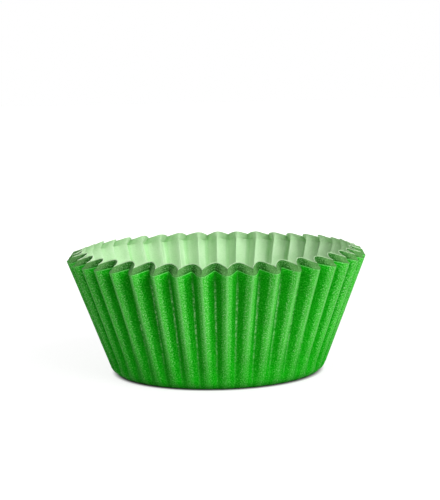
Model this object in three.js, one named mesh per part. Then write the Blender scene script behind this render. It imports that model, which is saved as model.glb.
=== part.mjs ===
import * as THREE from 'three';
import { mergeGeometries } from 'three/addons/utils/BufferGeometryUtils.js';

// Cupcake liner, pressed from one flat round sheet of greaseproof paper.
// Millimetres, +Z up. The origin is the middle of the underside of the flat base,
// and the front of the cup faces -Y.

// Sizes of the pressed cup, measured along a ridge on the outside of the paper
const baseRadius = 22.6;
const cornerRadius = 3.3;
const wallLean = 20.6;
const wallLength = 26.5;
const rimBandLength = 1.75;
const rimBandLean = -16;

// The paper and its flutes. A valley is a sharp crease at 1 and a soft wave at 2. The
// arches of the rim are pointed at 1, and fuller below it.
const paperThickness = 0.08;
const fluteCount = 40;
const firstRidgeAngle = 4.05;
const valleySoftness = 1.3;
const archPoint = 0.7;

// How finely the form is cut into facets
const stepsPerFlute = 8;
const cornerRows = 3;
const wallRows = 2;
const lengthStep = 0.1;
const stepsAround = fluteCount * stepsPerFlute;

// Lengths along the sheet from its middle. Pressing stretches no paper on a ridge, so
// these are radii of the flat blank as well.
const leanAngle = THREE.MathUtils.degToRad(wallLean);
const bandAngle = THREE.MathUtils.degToRad(rimBandLean);
const cornerLength = cornerRadius * (Math.PI / 2 - leanAngle);
const cornerEnd = baseRadius + cornerLength;
const wallEnd = cornerEnd + wallLength;
const blankRadius = wallEnd + rimBandLength;

// Angle through which the corner has turned up at a distance along the sheet
function cornerTurn(along) {
  return THREE.MathUtils.clamp(along - baseRadius, 0, cornerLength) / cornerRadius;
}

// Radius of a ridge: flat base, rounded corner and straight wall that leans out
function ridgeRadius(along) {
  return Math.min(along, baseRadius)
    + cornerRadius * Math.sin(cornerTurn(along))
    + Math.max(along - cornerEnd, 0) * Math.sin(leanAngle);
}

// A ring of the blank is longer than the ring of the cup that it becomes, and the
// flutes take up what is spare. With straight flanks, each flank, half the width of
// a flute and its depth make a right-angled triangle. The width is first taken at the
// ridges, and then half way down the flutes.
function fluteDepth(along) {
  const halfAngle = Math.PI / fluteCount;
  const ridge = ridgeRadius(along);
  const firstDepth = halfAngle * Math.sqrt(Math.max(along ** 2 - ridge ** 2, 0));
  return halfAngle * Math.sqrt(Math.max(along ** 2 - (ridge - firstDepth / 2) ** 2, 0));
}

// Radius and height in the cup at a distance along the sheet. depthShare is 0 on a ridge
// and 1 in a valley. Up the wall each line keeps its length, so a line in a valley, which
// leans out less, ends higher than a ridge. That gives the rim its waves.
function cupPlace(along, depthShare) {
  const radiusAt = (length) => ridgeRadius(length) - depthShare * fluteDepth(length);
  let height = cornerRadius * (1 - Math.cos(cornerTurn(along)));
  for (let length = cornerEnd; length < along; length += lengthStep) {
    const next = Math.min(length + lengthStep, along);
    const outward = radiusAt(next) - radiusAt(length);
    height += Math.sqrt(Math.max((next - length) ** 2 - outward ** 2, 0));
  }
  return new THREE.Vector2(radiusAt(along), height);
}

// The cut edge, at the top of the rim band. Here the ridges are pinched to notches and
// the valleys between them open to round arches.
function edgePlace(halfPhase) {
  const place = cupPlace(wallEnd, Math.abs(Math.sin(halfPhase)) ** archPoint);
  place.x += rimBandLength * Math.sin(bandAngle);
  place.y += rimBandLength * Math.cos(bandAngle);
  return place;
}

// Place of a point of the blank in the pressed cup. Up to the end of the wall the ridges
// are broad and round, and the valleys narrow. The rim band is ruled from there to the
// cut edge.
function pressed(along, angle) {
  const halfPhase = fluteCount * (angle - THREE.MathUtils.degToRad(firstRidgeAngle)) / 2;
  const depthShare = 1 - Math.abs(Math.cos(halfPhase)) ** valleySoftness;
  const place = cupPlace(Math.min(along, wallEnd), depthShare);
  if (along > wallEnd) {
    place.lerp(edgePlace(halfPhase), (along - wallEnd) / rimBandLength);
  }
  return new THREE.Vector3(place.x * Math.sin(angle), -place.x * Math.cos(angle), place.y);
}

// Direction into the cup, square to the sheet
function inwardNormal(along, angle) {
  const reach = lengthStep / 10;
  const turn = reach / along;
  const outwards = pressed(along + reach, angle).sub(pressed(along - reach, angle));
  const sideways = pressed(along, angle + turn).sub(pressed(along, angle - turn));
  return outwards.cross(sideways).normalize();
}

// Distances along the sheet at which its facets bend
function facetRows() {
  const rows = [baseRadius];
  for (let row = 1; row <= cornerRows; row++) {
    rows.push(THREE.MathUtils.lerp(baseRadius, cornerEnd, row / cornerRows));
  }
  for (let row = 1; row <= wallRows; row++) {
    rows.push(THREE.MathUtils.lerp(cornerEnd, wallEnd, row / wallRows));
  }
  rows.push(blankRadius);
  return rows;
}

// One side of the flat blank, revolved about its middle. above is how far it lies over
// the underside.
function blankSide(above) {
  const section = facetRows().map((along) => new THREE.Vector2(along, above));
  return new THREE.LatheGeometry([new THREE.Vector2(0, above), ...section], stepsAround);
}

function turnOver(side) {
  const corners = side.getIndex();
  for (let corner = 0; corner < corners.count; corner += 3) {
    const second = corners.getX(corner + 1);
    corners.setX(corner + 1, corners.getX(corner + 2));
    corners.setX(corner + 2, second);
  }
  return side;
}

// The flat blank: its underside, its upper side and the cut edge between them. Both sides
// are cut into the same triangles, so that the thin sheet keeps its thickness when a
// square of it is pressed out of flat.
function flatBlank() {
  const edge = [new THREE.Vector2(blankRadius, 0), new THREE.Vector2(blankRadius, paperThickness)];
  return mergeGeometries([
    blankSide(0),
    turnOver(blankSide(paperThickness)),
    new THREE.LatheGeometry(edge, stepsAround),
  ]);
}

// Pressing moves every corner of the blank to its place in the cup
function pressBlank(blank) {
  const position = blank.getAttribute('position');
  for (let index = 0; index < position.count; index++) {
    const across = position.getX(index);
    const towards = position.getZ(index);
    const above = position.getY(index);
    const along = Math.hypot(across, towards);
    const angle = Math.atan2(across, towards);
    const place = pressed(along, angle);
    if (above > 0) {
      const inward = along > baseRadius ? inwardNormal(along, angle) : new THREE.Vector3(0, 0, 1);
      place.addScaledVector(inward, above);
    }
    position.setXYZ(index, place.x, place.y, place.z);
  }
  blank.computeVertexNormals();
  return blank;
}

const greenPaper = new THREE.MeshStandardMaterial({ color: 0x169c26, roughness: 0.72, metalness: 0 });

const paperLiner = new THREE.Mesh(pressBlank(flatBlank()), greenPaper);
paperLiner.name = 'paper_liner';

const cupcakeLiner = new THREE.Group();
cupcakeLiner.add(paperLiner);

export default cupcakeLiner;
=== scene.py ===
import math
import random

import bmesh
import bpy
from mathutils import Matrix, Vector, noise


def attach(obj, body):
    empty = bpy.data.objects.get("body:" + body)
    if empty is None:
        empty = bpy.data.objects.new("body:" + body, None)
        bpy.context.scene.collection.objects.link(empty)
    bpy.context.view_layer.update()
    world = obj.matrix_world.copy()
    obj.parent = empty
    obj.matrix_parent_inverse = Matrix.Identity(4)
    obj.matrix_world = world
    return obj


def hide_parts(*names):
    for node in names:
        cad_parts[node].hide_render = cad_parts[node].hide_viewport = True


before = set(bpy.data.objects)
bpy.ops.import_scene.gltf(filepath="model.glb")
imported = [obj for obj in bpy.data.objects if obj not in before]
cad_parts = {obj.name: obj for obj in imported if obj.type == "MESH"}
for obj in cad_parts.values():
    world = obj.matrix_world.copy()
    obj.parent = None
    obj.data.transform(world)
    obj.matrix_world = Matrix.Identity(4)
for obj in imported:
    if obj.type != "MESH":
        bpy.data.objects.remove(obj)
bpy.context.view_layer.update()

mm = 0.001
closeBy = 0.001 * mm  # points this close are the same point

# Paper liner: one round sheet, pressed into a fluted cup. Change these to change its form.
liner = {
    "baseRadius": 22.6 * mm,  # flat round base
    "cornerRadius": 3.3 * mm,  # bend from the base up into the wall
    "wallLean": math.radians(20.6),  # ridges lean out this far from upright
    "wallLength": 26.5 * mm,
    "bandLength": 1.75 * mm,  # short strip that stands up along the rim
    "bandLean": math.radians(-16),
    "notchLean": math.radians(-34),  # the band is pinched in at the ridges
    "mouthShift": 0.1 * mm,  # the mouth sits a little to the right of the base's middle
    "mouthWiden": 0.004,  # and is wider from side to side than from front to back
    "bandShift": 0.15 * mm,  # the band sits a little further to the right
    "paperThickness": 0.08 * mm,
    "fluteCount": 40,
    "firstRidge": math.radians(4.05),  # from the front, towards +X
    "valleySoftness": 1.3,  # 1 is a sharp crease, 2 a soft wave
    "archPoint": 0.7,  # 1 is a pointed arch, less is fuller
    "stepsPerFlute": 24,
    "baseRings": 5,
    "cornerRings": 9,
    "wallRings": 15,
    "bandRings": 8,
    "seed": 7,
    "ridgeShift": 0.035,  # share of a flute by which a ridge or valley strays sideways
    "depthSpread": 0.07,  # share by which flutes differ in depth
    "rimSpread": 0.1 * mm,  # how much the arches of the rim differ in height
    "creaseStep": 0.1 * mm,  # the band starts this far inside the wall's end
    "crinkle": 0.035 * mm,  # size of the small dents all over the sheet
    "crinkleWidth": 3.5 * mm,
}

cornerLength = liner["cornerRadius"] * (math.pi / 2 - liner["wallLean"])
cornerEnd = liner["baseRadius"] + cornerLength
wallEnd = cornerEnd + liner["wallLength"]
blankRadius = wallEnd + liner["bandLength"]
blankDiameter = 2 * blankRadius


def strayValues(spread, draw):
    # one value for each ridge and each valley, round the cup
    return [draw.uniform(-spread, spread) for _ in range(2 * liner["fluteCount"])]


def strayAt(values, phase):
    place = phase / math.pi % len(values)
    low = int(place) % len(values)
    share = (1 - math.cos(math.pi * (place - int(place)))) / 2
    return values[low] * (1 - share) + values[(low + 1) % len(values)] * share


def cornerTurn(along):
    return min(max(along - liner["baseRadius"], 0), cornerLength) / liner["cornerRadius"]


def ridgeRadius(along):
    corner = liner["cornerRadius"] * math.sin(cornerTurn(along))
    wall = max(along - cornerEnd, 0) * math.sin(liner["wallLean"])
    return min(along, liner["baseRadius"]) + corner + wall


def fluteDepth(along):
    # the flutes take up what a ring of the blank is longer than the same ring of the cup
    halfAngle = math.pi / liner["fluteCount"]
    ridge = ridgeRadius(along)
    firstDepth = halfAngle * math.sqrt(max(along**2 - ridge**2, 0))
    return halfAngle * math.sqrt(max(along**2 - (ridge - firstDepth / 2) ** 2, 0))


def lineUpTheWall(rings, depthShare):
    # radius and height at each ring, for a line of the sheet that keeps its length up the wall
    places, height, lastRadius, lastAlong = {}, 0, 0, 0
    for along in rings:
        radius = ridgeRadius(along) - depthShare * fluteDepth(along)
        if along <= cornerEnd:
            height = liner["cornerRadius"] * (1 - math.cos(cornerTurn(along)))
        else:
            height += math.sqrt(max((along - lastAlong) ** 2 - (radius - lastRadius) ** 2, 0))
        places[along] = (radius, height)
        lastRadius, lastAlong = radius, along
    return places


def sheetRings():
    # distances from the sheet's middle at which the blank gets a ring
    rings, start = [0], 0
    for end, count in (
        (liner["baseRadius"], liner["baseRings"]),
        (cornerEnd, liner["cornerRings"]),
        (wallEnd, liner["wallRings"]),
        (blankRadius, liner["bandRings"]),
    ):
        rings += [start + (end - start) * step / count for step in range(1, count + 1)]
        start = end
    return rings


def flatBlank():
    blank = bmesh.new()
    out = Vector((math.sin(liner["firstRidge"]), -math.cos(liner["firstRidge"]), 0))
    section = [blank.verts.new(out * along) for along in sheetRings()]
    for inner, outer in zip(section, section[1:]):
        blank.edges.new((inner, outer))
    # one flute is spun from the section, and then copied all round
    flute = 2 * math.pi / liner["fluteCount"]
    whole = {"cent": (0, 0, 0), "axis": (0, 0, 1)}
    bmesh.ops.spin(
        blank, geom=blank.verts[:] + blank.edges[:], angle=flute, steps=liner["stepsPerFlute"], **whole
    )
    bmesh.ops.spin(
        blank,
        geom=blank.verts[:] + blank.edges[:] + blank.faces[:],
        angle=flute * (liner["fluteCount"] - 1),
        steps=liner["fluteCount"] - 1,
        use_duplicate=True,
        **whole,
    )
    bmesh.ops.remove_doubles(blank, verts=blank.verts, dist=closeBy)
    bmesh.ops.recalc_face_normals(blank, faces=blank.faces)
    if sum(face.normal.z for face in blank.faces) > 0:
        bmesh.ops.reverse_faces(blank, faces=blank.faces)
    return blank


def markBlank(blank):
    # the UV map is the flat blank itself, so the paper's grain follows the sheet
    flat = blank.loops.layers.uv.new("flatBlank")
    for face in blank.faces:
        for loop in face.loops:
            loop[flat].uv = loop.vert.co.xy / blankDiameter + Vector((0.5, 0.5))


def pressLine(wallRings, phase, depth):
    # places up the wall, and at the cut edge, for one line of the sheet
    wallShare = depth * (1 - abs(math.cos(phase / 2)) ** liner["valleySoftness"])
    rimShare = depth * abs(math.sin(phase / 2)) ** liner["archPoint"]
    edgePlace = Vector(lineUpTheWall(wallRings, rimShare)[wallRings[-1]])
    pinch = math.cos(phase / 2) ** 2
    lean = liner["bandLean"] * (1 - pinch) + liner["notchLean"] * pinch
    edgePlace += liner["bandLength"] * Vector((math.sin(lean), math.cos(lean)))
    return lineUpTheWall(wallRings, wallShare), edgePlace


def pressBlank(blank):
    draw = random.Random(liner["seed"])
    sideways = strayValues(liner["ridgeShift"], draw)
    deeper = strayValues(liner["depthSpread"], draw)
    higher = strayValues(liner["rimSpread"], draw)
    rings = sorted({round(vert.co.length, 9) for vert in blank.verts})
    wallRings = [along for along in rings if along < wallEnd + closeBy]
    lines = {}
    for vert in blank.verts:
        along = round(vert.co.length, 9)
        angle = math.atan2(vert.co.x, -vert.co.y)
        phase = liner["fluteCount"] * (angle - liner["firstRidge"])
        key = round(phase, 4)
        if key not in lines:
            lines[key] = pressLine(wallRings, phase, 1 + strayAt(deeper, phase))
        places, edgePlace = lines[key]
        risen = min(max((along - liner["baseRadius"]) / (wallEnd - liner["baseRadius"]), 0), 1)
        bandShare = 0
        if along in places:
            radius, height = places[along]
        else:
            bandShare = (along - wallEnd) / liner["bandLength"]
            wallPlace = Vector(places[wallRings[-1]]) - Vector((liner["creaseStep"], 0))
            radius, height = wallPlace.lerp(edgePlace, bandShare)
        height += risen**2 * strayAt(higher, phase)
        angle += risen * strayAt(sideways, phase) * 2 * math.pi / liner["fluteCount"]
        across = radius * math.sin(angle) * (1 + risen * liner["mouthWiden"])
        across += risen * liner["mouthShift"]
        across += bandShare * liner["bandShift"]
        place = Vector((across, -radius * math.cos(angle), height))
        if along > liner["baseRadius"]:
            # full dents from a third of the way up
            dent = noise.noise(place / liner["crinkleWidth"]) * liner["crinkle"] * min(3 * risen, 1)
            place += Vector((place.x, place.y, 0)).normalized() * dent
        vert.co = place
    bmesh.ops.recalc_face_normals(blank, faces=blank.faces)
    lowest = min(blank.faces, key=lambda face: face.calc_center_median().z)
    if lowest.normal.z > 0:
        bmesh.ops.reverse_faces(blank, faces=blank.faces)


def node(tree, kind, place, **values):
    made = tree.nodes.new(kind)
    made.location = place
    for name, value in values.items():
        setattr(made, name, value)
    return made


def maths(tree, operation, place, first, second=None, third=None, clamp=False):
    made = node(tree, "ShaderNodeMath", place, operation=operation, use_clamp=clamp)
    for socket, value in zip(made.inputs, (first, second, third)):
        if value is None:
            continue
        if isinstance(value, bpy.types.NodeSocket):
            tree.links.new(value, socket)
        else:
            socket.default_value = value
    return made.outputs[0]


def ramp(tree, place, value, low, high, start=0.0, end=1.0):
    # value from low to high, smoothly turned into start to end
    made = node(tree, "ShaderNodeMapRange", place, interpolation_type="SMOOTHSTEP")
    tree.links.new(value, made.inputs["Value"])
    made.inputs["From Min"].default_value = low
    made.inputs["From Max"].default_value = high
    made.inputs["To Min"].default_value = start
    made.inputs["To Max"].default_value = end
    return made.outputs["Result"]


def mixColour(tree, place, share, first, second, blend="MIX"):
    made = node(tree, "ShaderNodeMix", place, data_type="RGBA", blend_type=blend)
    for socket, value in zip((made.inputs[0], made.inputs[6], made.inputs[7]), (share, first, second)):
        if isinstance(value, bpy.types.NodeSocket):
            tree.links.new(value, socket)
        elif isinstance(value, (int, float)):
            socket.default_value = value
        else:
            socket.default_value = (*value, 1)
    return made.outputs[2]


def grain(tree, place, point, scale, detail=3.0, roughness=0.6, stretch=(1, 1, 1), turn=0.0):
    mapping = node(tree, "ShaderNodeMapping", place)
    mapping.inputs["Rotation"].default_value = (0, 0, turn)
    mapping.inputs["Scale"].default_value = stretch
    tree.links.new(point, mapping.inputs["Vector"])
    made = node(tree, "ShaderNodeTexNoise", (place[0] + 180, place[1]))
    made.inputs["Scale"].default_value = scale
    made.inputs["Detail"].default_value = detail
    made.inputs["Roughness"].default_value = roughness
    tree.links.new(mapping.outputs["Vector"], made.inputs["Vector"])
    return made.outputs["Fac"]


def startPaper(name):
    material = bpy.data.materials.new(name)
    material.use_nodes = True
    tree = material.node_tree
    tree.nodes.clear()
    output = node(tree, "ShaderNodeOutputMaterial", (1700, 0))
    shader = node(tree, "ShaderNodeBsdfPrincipled", (1400, 0))
    tree.links.new(shader.outputs["BSDF"], output.inputs["Surface"])
    return material, tree, shader


def blankPoint(tree):
    # millimetres on the flat blank, from its middle
    flat = node(tree, "ShaderNodeUVMap", (-1600, 0), uv_map="flatBlank")
    centred = node(tree, "ShaderNodeVectorMath", (-1400, 0), operation="SUBTRACT")
    centred.inputs[1].default_value = (0.5, 0.5, 0)
    tree.links.new(flat.outputs["UV"], centred.inputs[0])
    scaled = node(tree, "ShaderNodeVectorMath", (-1220, 0), operation="SCALE")
    scaled.inputs["Scale"].default_value = blankDiameter / mm
    tree.links.new(centred.outputs[0], scaled.inputs[0])
    return scaled.outputs[0]


def blankAlong(tree, point):
    length = node(tree, "ShaderNodeVectorMath", (-1000, 200), operation="LENGTH")
    tree.links.new(point, length.inputs[0])
    return length.outputs["Value"]


def ridgeShare(tree, point):
    # 1 along a ridge and 0 along a valley
    parts = node(tree, "ShaderNodeSeparateXYZ", (-1000, -100))
    tree.links.new(point, parts.inputs[0])
    front = maths(tree, "MULTIPLY", (-820, -200), parts.outputs["Y"], -1)
    angle = maths(tree, "ARCTAN2", (-640, -100), parts.outputs["X"], front)
    turned = maths(tree, "SUBTRACT", (-480, -100), angle, liner["firstRidge"])
    phase = maths(tree, "MULTIPLY", (-320, -100), turned, liner["fluteCount"])
    wave = maths(tree, "COSINE", (-160, -100), phase)
    return maths(tree, "MULTIPLY_ADD", (0, -100), wave, 0.5, 0.5)


def addBump(tree, place, height, distance, strength=1.0):
    bump = node(tree, "ShaderNodeBump", place)
    bump.inputs["Strength"].default_value = strength
    bump.inputs["Distance"].default_value = distance
    tree.links.new(height, bump.inputs["Height"])
    return bump.outputs["Normal"]


def times(tree, place, first, second, clamp=False):
    return maths(tree, "MULTIPLY", place, first, second, clamp=clamp)


def ringLine(tree, place, along, middle, halfWidth):
    # 1 on a ring of the blank at this distance from its middle, and 0 beside it
    offset = maths(tree, "SUBTRACT", (place[0] - 160, place[1]), along, middle)
    away = maths(tree, "ABSOLUTE", place, offset)
    return ramp(tree, (place[0] + 160, place[1]), away, 0, halfWidth, 1.0, 0.0)


# Outside of the paper: printed green, with painted sheen on the ridges, painted shade in the valleys,
# painted highlights down the folds, a painted shadow under the band, and pale fibres.
# Sizes here are in millimetres, and levels are shares from 0 to 1.
greenPaper = {
    # painted sheen makes the ridges a paler green, and painted shade makes the valleys a deeper green
    "valleyShadeGreen": (0.0005, 0.33, 0.0005),
    "ridgeSheenGreen": (0.045, 0.52, 0.03),
    "valleyShadeFleck": (0.07, 0.60, 0.05),
    "fleck": (0.36, 0.78, 0.31),
    "sheenEdges": (0.42, 0.80),  # share of the way from valley to ridge where the painted sheen turns the green pale
    "ridgeStray": 0.5,  # how far the specks move that border
    "sheenAtBase": 0.3,
    "sheenRise": (-2, 13),  # from here to here above the corner the painted sheen on the ridges reaches full strength
    "fleckSize": 0.31,
    "fleckLevel": 0.7,
    "fibreSize": 0.26,
    "fibreStretch": (1, 0.22, 1),
    "fibreTurns": (0.7, -0.9),
    "valleyHighlight": 0.04,  # half width of the painted valley highlight, as a share of the way from valley to ridge
    "valleyHighlightStray": 0.14,
    # painted highlight along each ridge crest
    "crestHighlight": (0.955, 0.99),
    "crestHighlightLevel": 0.22,
    "bandDark": (0.005, 0.10, 0.002),
    "bandPale": (0.078, 0.24, 0.056),
    "bandLines": (0.42, 0.80, 1.2),  # below the cut edge
    "bandLineWidth": 0.11,
    "bandFleckLevel": 0.28,
    "lipLevel": 0.35,
    "edgePale": (0.42, 0.62, 0.36),
    "edgeLevel": 0.85,
    "roughness": (0.45, 0.65),
    "shine": 0.05,
    "relief": 0.045,
}


def paperGrain(tree, point):
    # specks, flecks made of specks and crossing fibres, and large soft patches
    fine = 1 / greenPaper["fibreSize"]
    stretch = greenPaper["fibreStretch"]
    firstTurn, secondTurn = greenPaper["fibreTurns"]
    specks = grain(tree, (-800, -400), point, 1 / greenPaper["fleckSize"], 2, 0.75)
    fibres = grain(tree, (-800, -600), point, fine, 2, 0.5, stretch, firstTurn)
    crossing = grain(tree, (-800, -800), point, fine, 2, 0.5, stretch, secondTurn)
    speck = ramp(tree, (-400, -400), specks, 0.50, 0.68)
    threads = maths(tree, "MAXIMUM", (-400, -700), fibres, crossing)
    thread = ramp(tree, (-200, -700), threads, 0.60, 0.74)
    return {
        "specks": specks,
        "stray": maths(tree, "SUBTRACT", (-400, -250), specks, 0.5),
        "flecks": maths(tree, "MULTIPLY_ADD", (0, -500), thread, 0.6, speck),
        "patches": grain(tree, (-800, -1000), point, 0.25, 3, 0.5),
    }


def wallColour(tree, along, wander, grains):
    # the painted sheen on the ridges fades towards the base, where the flutes are shallow
    low, high = greenPaper["sheenRise"]
    corner = cornerEnd / mm
    # painted sheen on the ridges, painted shade in the valleys
    ridgeSheen = ramp(tree, (0, -250), wander, *greenPaper["sheenEdges"])
    upTheWall = ramp(tree, (0, -50), along, corner + low, corner + high, greenPaper["sheenAtBase"], 1.0)
    sheenShare = times(tree, (200, -150), ridgeSheen, upTheWall)
    body = mixColour(tree, (400, 200), sheenShare, greenPaper["valleyShadeGreen"], greenPaper["ridgeSheenGreen"])
    patchLevel = ramp(tree, (200, 300), grains["patches"], 0.3, 0.7, 0.92, 1.06)
    speckLevel = ramp(tree, (200, 450), grains["specks"], 0.3, 0.55, 0.7, 1.05)
    clouded = node(tree, "ShaderNodeVectorMath", (600, 250), operation="SCALE")
    tree.links.new(body, clouded.inputs[0])
    tree.links.new(times(tree, (400, 350), patchLevel, speckLevel), clouded.inputs["Scale"])
    fleckShare = times(tree, (400, -350), grains["flecks"], greenPaper["fleckLevel"], clamp=True)
    # the flecks too are paler on the ridges as painted sheen and deeper in the valleys as painted shade
    fleckColour = mixColour(tree, (400, 0), sheenShare, greenPaper["valleyShadeFleck"], greenPaper["fleck"])
    return mixColour(tree, (700, 100), fleckShare, clouded.outputs[0], fleckColour)


def foldHighlightLines(tree, point, along, ridge, grains):
    # painted highlights: a broken pale line down the bottom of each valley, and a faint one down each ridge
    corner, top = cornerEnd / mm, wallEnd / mm
    ragged = maths(tree, "MULTIPLY_ADD", (0, -650), grains["stray"], greenPaper["valleyHighlightStray"], ridge)
    valleyHighlight = ramp(tree, (200, -650), ragged, 0.0, greenPaper["valleyHighlight"], 1.0, 0.0)
    fromTop = ramp(tree, (200, -800), along, top - 6, top - 1, 1.0, 0.1)
    fromBase = ramp(tree, (200, -950), along, corner, corner + 16, 0.1, 1.0)
    lineLevel = times(tree, (400, -850), fromTop, fromBase)
    dashGrain = grain(tree, (0, -1100), point, 1.3, 4, 0.8)
    dashes = ramp(tree, (400, -1000), dashGrain, 0.43, 0.62, 0.05, 1.0)
    broken = times(tree, (600, -700), times(tree, (400, -700), valleyHighlight, lineLevel), dashes, clamp=True)
    crestHighlight = ramp(
        tree, (400, -1150), ridge, *greenPaper["crestHighlight"], 0.0, greenPaper["crestHighlightLevel"]
    )
    return maths(tree, "MAXIMUM", (750, -800), broken, times(tree, (600, -1000), crestHighlight, fromBase))


def bandLines(tree, along, grains):
    # fine wavy lines along the cut edge
    bent = maths(tree, "SUBTRACT", (0, 800), grains["patches"], 0.5)
    wavy = maths(tree, "MULTIPLY_ADD", (200, 800), bent, 0.6, along)
    lines = 0
    for index, depth in enumerate(greenPaper["bandLines"]):
        height = 900 + 150 * index
        middle = blankRadius / mm - depth
        line = ringLine(tree, (500, height), wavy, middle, greenPaper["bandLineWidth"])
        lines = maths(tree, "ADD", (850, height), line, lines)
    return lines


def bandColour(tree, along, wander, grains, lines):
    # dull green, paler at the ridges, with a painted shadow along the crease where it meets the wall
    bandShade = ramp(tree, (200, 600), wander, 0.1, 0.95)
    band = mixColour(tree, (400, 600), bandShade, greenPaper["bandDark"], greenPaper["bandPale"])
    gaps = ramp(tree, (850, 750), grains["specks"], 0.35, 0.6, 0.15, 0.75)
    lineShare = times(tree, (1000, 800), lines, gaps, clamp=True)
    lined = mixColour(tree, (1000, 600), lineShare, band, greenPaper["bandPale"])
    fleckShare = times(tree, (1000, 450), grains["flecks"], greenPaper["bandFleckLevel"], clamp=True)
    speckled = mixColour(tree, (1150, 600), fleckShare, lined, greenPaper["fleck"])
    # painted shadow along the crease, darkest under the arches
    creaseShade = ringLine(tree, (700, 450), along, wallEnd / mm + 0.06, 0.16)
    creaseShadeLevel = ramp(tree, (1000, 350), wander, 0.1, 0.9, 0.85, 0.3)
    creaseShadeShare = times(tree, (1150, 400), creaseShade, creaseShadeLevel)
    return mixColour(tree, (1300, 500), creaseShadeShare, speckled, greenPaper["bandDark"])


def makeGreenPaper():
    material, tree, shader = startPaper("greenPaper")
    point = blankPoint(tree)
    along = blankAlong(tree, point)
    ridge = ridgeShare(tree, point)
    grains = paperGrain(tree, point)
    wander = maths(
        tree, "MULTIPLY_ADD", (-200, -250), grains["stray"], greenPaper["ridgeStray"], ridge
    )

    wall = wallColour(tree, along, wander, grains)
    # painted highlights down the valleys and ridge crests, in the pale fleck colour
    foldHighlights = foldHighlightLines(tree, point, along, ridge, grains)
    withFoldHighlights = mixColour(tree, (850, 100), foldHighlights, wall, greenPaper["fleck"])
    lip = ringLine(tree, (500, 350), along, wallEnd / mm - 0.14, 0.14)
    lipShare = times(tree, (850, 200), lip, greenPaper["lipLevel"])
    lipped = mixColour(tree, (1000, 250), lipShare, withFoldHighlights, greenPaper["fleck"])

    lines = bandLines(tree, along, grains)
    band = bandColour(tree, along, wander, grains, lines)
    inBand = ramp(tree, (850, 300), along, wallEnd / mm - 0.03, wallEnd / mm + 0.03)
    withBand = mixColour(tree, (1450, 300), inBand, lipped, band)
    edge = blankRadius / mm
    nearEdge = ramp(tree, (1300, 250), along, edge - 0.2, edge - 0.1, 0.0, greenPaper["edgeLevel"])
    finished = mixColour(tree, (1600, 250), nearEdge, withBand, greenPaper["edgePale"])
    tree.links.new(finished, shader.inputs["Base Color"])

    low, high = greenPaper["roughness"]
    roughness = ramp(tree, (1400, -100), grains["flecks"], 0.0, 1.2, high, low)
    tree.links.new(roughness, shader.inputs["Roughness"])
    raised = times(tree, (1200, -400), lines, inBand)
    relief = maths(tree, "ADD", (1400, -300), grains["flecks"], raised)
    normal = addBump(tree, (1600, -300), relief, greenPaper["relief"] * mm, 0.8)
    tree.links.new(normal, shader.inputs["Normal"])
    shader.inputs["Specular IOR Level"].default_value = greenPaper["shine"]
    return material


# Inside of the paper: unprinted, so pale, with the green showing through, and painted shade along the
# creases
insidePaper = {
    "paleGreen": (0.54, 0.74, 0.48),
    "showThroughAndShade": (0.30, 0.57, 0.25),
    "creaseShadeLevel": 0.6,
    "patchLevel": 0.3,
    "roughness": 0.65,
    "shine": 0.2,
    "relief": 0.03,  # millimetres
}


def makeInsidePaper():
    material, tree, shader = startPaper("insidePaper")
    point = blankPoint(tree)
    ridge = ridgeShare(tree, point)
    along = blankAlong(tree, point)
    specks = grain(tree, (-800, -400), point, 1 / greenPaper["fleckSize"], 3, 0.6)
    mottle = grain(tree, (-800, -600), point, 0.3, 3, 0.5)
    # painted shade along the folds that are grooves on the inside; the random patches below are the green
    # showing through
    creaseShade = ramp(tree, (200, -100), ridge, 0.8, 1.0, 0.0, insidePaper["creaseShadeLevel"])
    onWall = ramp(tree, (200, -250), along, liner["baseRadius"] / mm, cornerEnd / mm + 6)
    inCreaseShade = times(tree, (400, -100), creaseShade, onWall)
    cloud = ramp(tree, (200, -450), mottle, 0.3, 0.75, 0.0, insidePaper["patchLevel"])
    fleck = ramp(tree, (200, -600), specks, 0.45, 0.7, 0.0, insidePaper["patchLevel"])
    patches = maths(tree, "ADD", (500, -400), cloud, fleck)
    share = maths(tree, "ADD", (600, -200), inCreaseShade, patches, clamp=True)
    colour = mixColour(tree, (800, 0), share, insidePaper["paleGreen"], insidePaper["showThroughAndShade"])
    tree.links.new(colour, shader.inputs["Base Color"])
    shader.inputs["Roughness"].default_value = insidePaper["roughness"]
    shader.inputs["Specular IOR Level"].default_value = insidePaper["shine"]
    normal = addBump(tree, (1000, -400), specks, insidePaper["relief"] * mm, 0.5)
    tree.links.new(normal, shader.inputs["Normal"])
    return material


# Cut edge: bare paper, seen as a thin pale line round the rim
cutEdge = {
    "pale": (0.74, 0.82, 0.66),
    "dull": (0.44, 0.62, 0.38),
    "roughness": 0.7,
}


def makeCutEdge():
    material, tree, shader = startPaper("cutEdge")
    specks = grain(tree, (-800, -400), blankPoint(tree), 3.0, 2, 0.6)
    share = ramp(tree, (400, -200), specks, 0.35, 0.65)
    colour = mixColour(tree, (800, 0), share, cutEdge["dull"], cutEdge["pale"])
    tree.links.new(colour, shader.inputs["Base Color"])
    shader.inputs["Roughness"].default_value = cutEdge["roughness"]
    return material


def makeLiner():
    blank = flatBlank()
    markBlank(blank)
    pressBlank(blank)
    mesh = bpy.data.meshes.new("linerSheet")
    blank.to_mesh(mesh)
    blank.free()
    sheet = bpy.data.objects.new("linerSheet", mesh)
    bpy.context.scene.collection.objects.link(sheet)
    for material in (makeGreenPaper(), makeInsidePaper(), makeCutEdge()):
        mesh.materials.append(material)
    paper = sheet.modifiers.new("paperThickness", "SOLIDIFY")
    paper.thickness = liner["paperThickness"]
    paper.offset = -1
    paper.material_offset = 1
    paper.material_offset_rim = 2
    bpy.context.view_layer.objects.active = sheet
    bpy.ops.object.modifier_apply(modifier=paper.name)
    for polygon in sheet.data.polygons:
        polygon.use_smooth = True
    sheet.data.set_sharp_from_angle(angle=math.radians(60))
    return sheet


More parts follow.
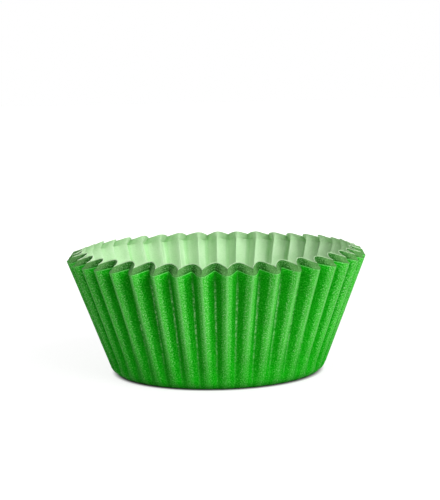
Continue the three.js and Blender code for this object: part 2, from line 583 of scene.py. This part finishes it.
linerSheet = makeLiner()
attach(linerSheet, "root")
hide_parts("paper_liner")
print("liner pressed:", len(linerSheet.data.polygons), "faces")

# Camera: the photograph's view, as a lens and a place round the liner
view = {
    "distance": 350 * mm,
    "elevation": math.radians(6.85),
    "roll": math.radians(1.23),
    "lens": 106.8,
    "sensor": 36,
    "target": Vector((1.044, 0, 28.44)) * mm,
}


def makeCamera():
    data = bpy.data.cameras.new("viewCamera")
    data.lens = view["lens"]
    data.sensor_width = view["sensor"]
    data.sensor_fit = "AUTO"
    data.clip_start = 10 * mm
    camera = bpy.data.objects.new("viewCamera", data)
    bpy.context.scene.collection.objects.link(camera)
    lookDown = Matrix.Rotation(math.pi / 2 - view["elevation"], 4, "X")
    rolled = Matrix.Rotation(-view["roll"], 4, "Z")
    back = Vector((0, -math.cos(view["elevation"]), math.sin(view["elevation"])))
    place = Matrix.Translation(view["target"] + view["distance"] * back)
    camera.matrix_world = place @ lookDown @ rolled
    bpy.context.scene.camera = camera


# Studio: a large soft light from the right, weaker ones in front and behind, white surroundings
studio = {
    "floorHalf": 3.0,
    "floorColour": (0.24, 0.24, 0.24),
    "floorLift": (0.82, 1.0),  # seen straight on: beside the liner, and far from it
    "liftEdge": (23.5 * mm, 25.5 * mm),  # the floor's own dark shows in the contact line up to here
    "farEdge": (90 * mm, 260 * mm),
    "worldLevel": 0.36,
    "lamps": [
        ("keyLight", (0.56, -0.55, 0.436), 0.75, 8.7),
        ("frontLight", (0.0, -0.86, 0.248), 0.7, 3.1),
        ("backLight", (-0.45, 0.66, 0.40), 0.6, 3.0),
    ],
    "aim": Vector((0, 0, 14)) * mm,
}


def cameraRayShare(tree):
    path = node(tree, "ShaderNodeLightPath", (-900, 300))
    straight = maths(tree, "ADD", (-700, 300), path.outputs["Is Camera Ray"], path.outputs["Is Glossy Ray"])
    return maths(tree, "ADD", (-500, 300), straight, path.outputs["Is Transmission Ray"], clamp=True)


def makeFloor():
    mesh = bpy.data.meshes.new("studioFloor")
    surface = bmesh.new()
    bmesh.ops.create_grid(surface, x_segments=1, y_segments=1, size=studio["floorHalf"])
    surface.to_mesh(mesh)
    surface.free()
    floor = bpy.data.objects.new("studioFloor", mesh)
    bpy.context.scene.collection.objects.link(floor)
    material = bpy.data.materials.new("whiteFloor")
    material.use_nodes = True
    tree = material.node_tree
    shader = tree.nodes["Principled BSDF"]
    shader.inputs["Base Color"].default_value = (*studio["floorColour"], 1)
    shader.inputs["Roughness"].default_value = 0.9
    shader.inputs["Specular IOR Level"].default_value = 0.1
    shader.inputs["Emission Color"].default_value = (1, 1, 1, 1)
    place = node(tree, "ShaderNodeTexCoord", (-1100, 0))
    away = node(tree, "ShaderNodeVectorMath", (-900, 0), operation="LENGTH")
    tree.links.new(place.outputs["Object"], away.inputs[0])
    near, far = studio["floorLift"]
    beside = ramp(tree, (-700, 0), away.outputs["Value"], *studio["liftEdge"], 0.0, near)
    beyond = ramp(tree, (-700, -200), away.outputs["Value"], *studio["farEdge"], 0.0, far - near)
    lift = maths(tree, "ADD", (-500, 0), beside, beyond)
    tree.links.new(times(tree, (-300, 100), cameraRayShare(tree), lift), shader.inputs["Emission Strength"])
    mesh.materials.append(material)


def makeWorld():
    world = bpy.data.worlds.new("studioWorld")
    world.use_nodes = True
    tree = world.node_tree
    surround = tree.nodes["Background"]
    surround.inputs["Color"].default_value = (1, 1, 1, 1)
    level = studio["worldLevel"]
    strength = maths(tree, "MULTIPLY_ADD", (-300, 300), cameraRayShare(tree), 1 - level, level)
    tree.links.new(strength, surround.inputs["Strength"])
    bpy.context.scene.world = world


def makeLamps():
    for name, place, size, power in studio["lamps"]:
        data = bpy.data.lights.new(name, "AREA")
        data.shape = "SQUARE"
        data.size = size
        data.energy = power
        lamp = bpy.data.objects.new(name, data)
        bpy.context.scene.collection.objects.link(lamp)
        lamp.location = place
        lamp.rotation_euler = (studio["aim"] - lamp.location).to_track_quat("-Z", "Y").to_euler()


makeCamera()
makeFloor()
makeWorld()
makeLamps()
bpy.context.scene.view_settings.view_transform = "Standard"
print("camera, floor and lights ready")
